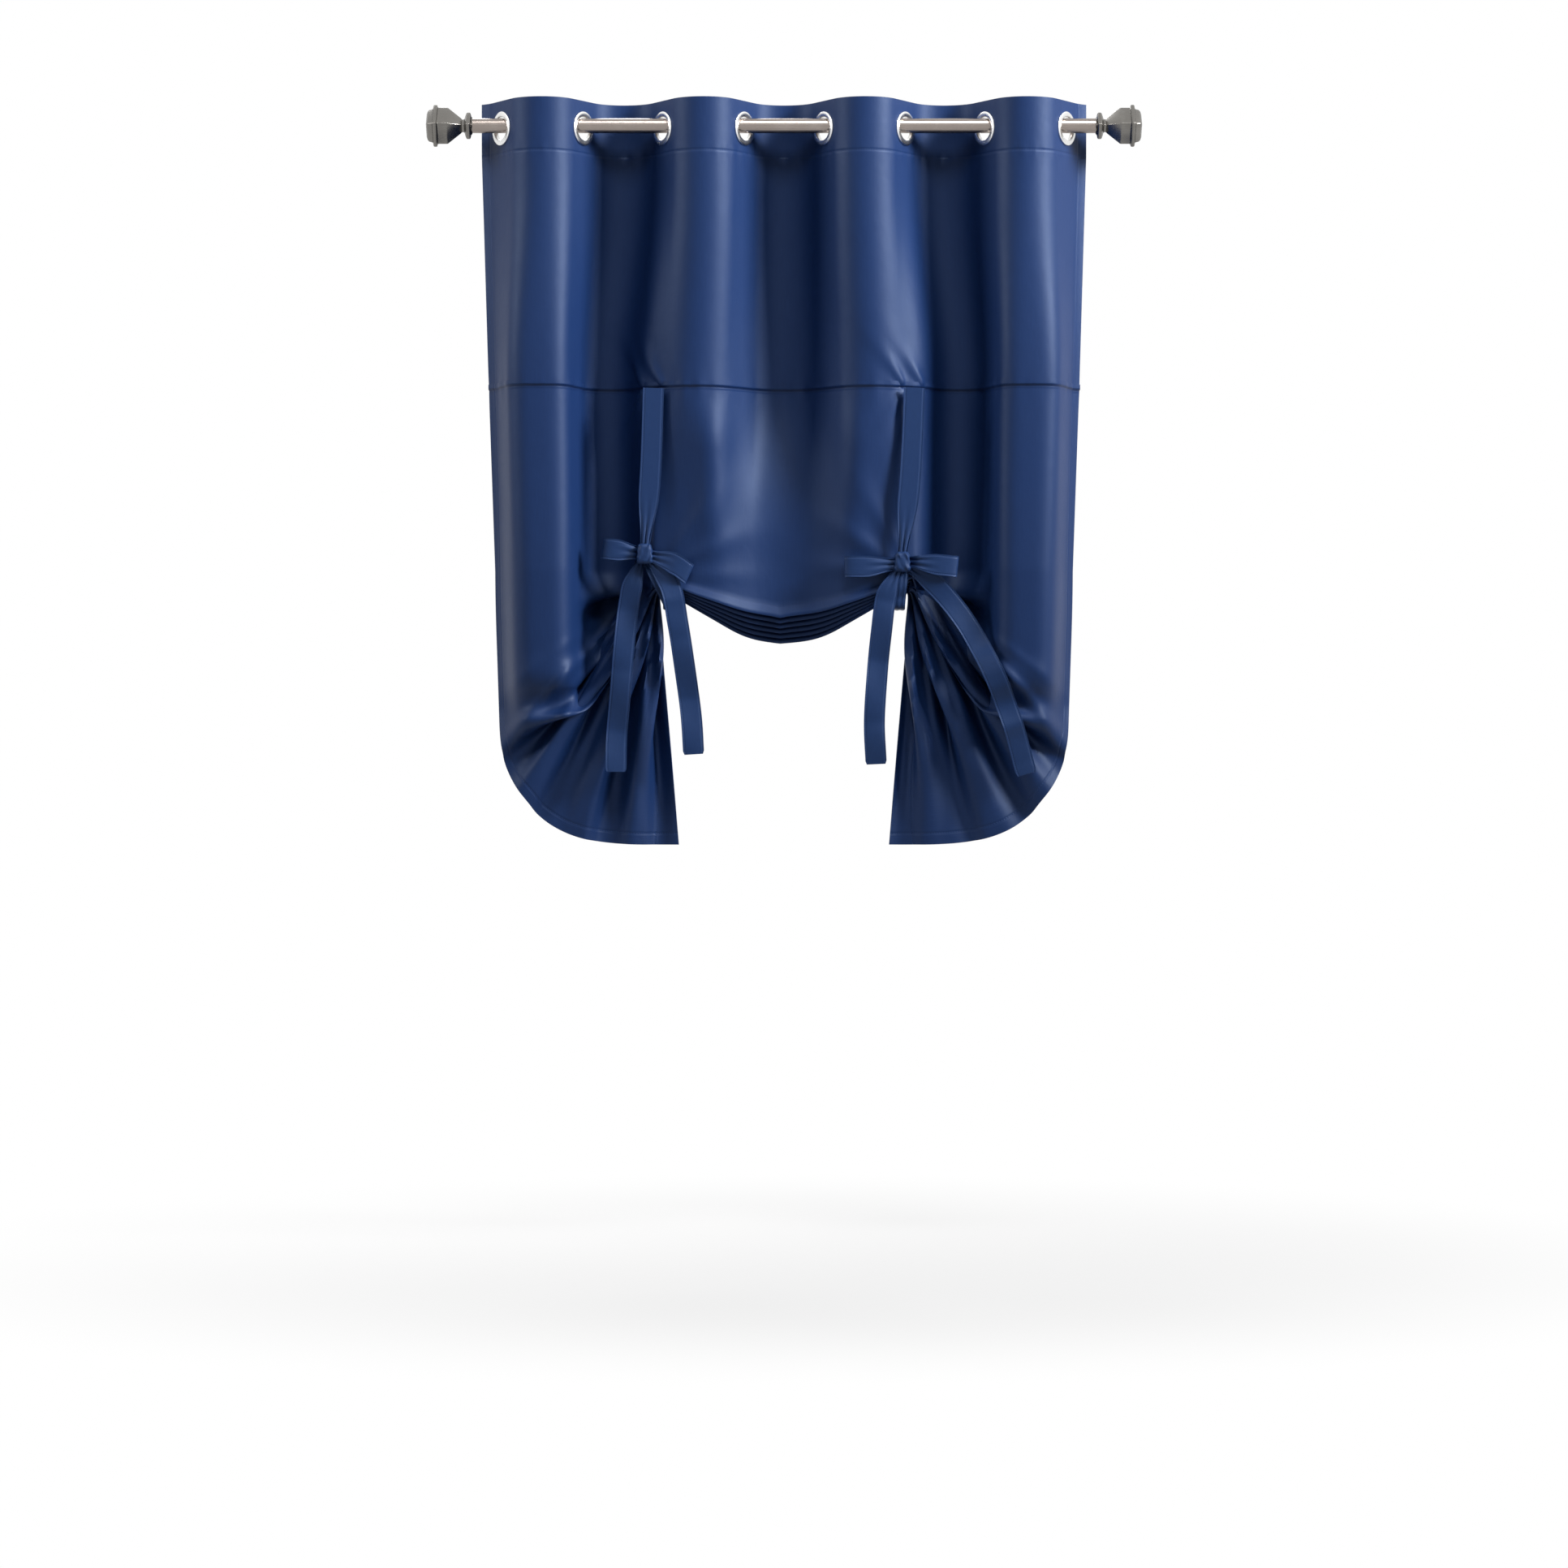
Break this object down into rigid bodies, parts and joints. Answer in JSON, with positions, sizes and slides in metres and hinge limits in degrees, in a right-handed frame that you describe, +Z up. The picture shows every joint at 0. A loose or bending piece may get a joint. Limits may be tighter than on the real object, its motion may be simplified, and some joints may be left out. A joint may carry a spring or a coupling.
{
  "type": "tie up curtain",
  "caption": "Short window curtain on a rod, gathered up by ribbons tied in bows, with a swag in the middle and a full tail at each side.",
  "frame": {"origin": "on the axis of the rod, at the middle of its length", "axes": "+X along the rod to the right as seen from the room, +Z up, the front of the curtain faces -Y"},
  "size_m": [1.2326, 0.1406, 1.2835],
  "materials": {
    "navy_satin": "satin woven polyester, navy blue",
    "navy_ribbon": "the same cloth, folded and stitched into ribbon",
    "brushed_nickel": "warm brushed nickel plating",
    "satin_silver": "satin silver plating"
  },
  "bodies": {
    "root": {"upper_panel": "navy_satin", "lower_panel": "navy_satin", "left_front_tie": "navy_ribbon", "left_back_tie": "navy_ribbon", "right_front_tie": "navy_ribbon", "right_back_tie": "navy_ribbon", "rod_tube": "brushed_nickel", "left_finial": "brushed_nickel", "right_finial": "brushed_nickel", "grommet_1_front": "satin_silver", "grommet_1_back": "satin_silver", "grommet_2_front": "satin_silver", "grommet_2_back": "satin_silver", "grommet_3_front": "satin_silver", "grommet_3_back": "satin_silver", "grommet_4_front": "satin_silver", "grommet_4_back": "satin_silver", "grommet_5_front": "satin_silver", "grommet_5_back": "satin_silver", "grommet_6_front": "satin_silver", "grommet_6_back": "satin_silver", "grommet_7_front": "satin_silver", "grommet_7_back": "satin_silver", "grommet_8_front": "satin_silver", "grommet_8_back": "satin_silver"}
  },
  "joints": []
}
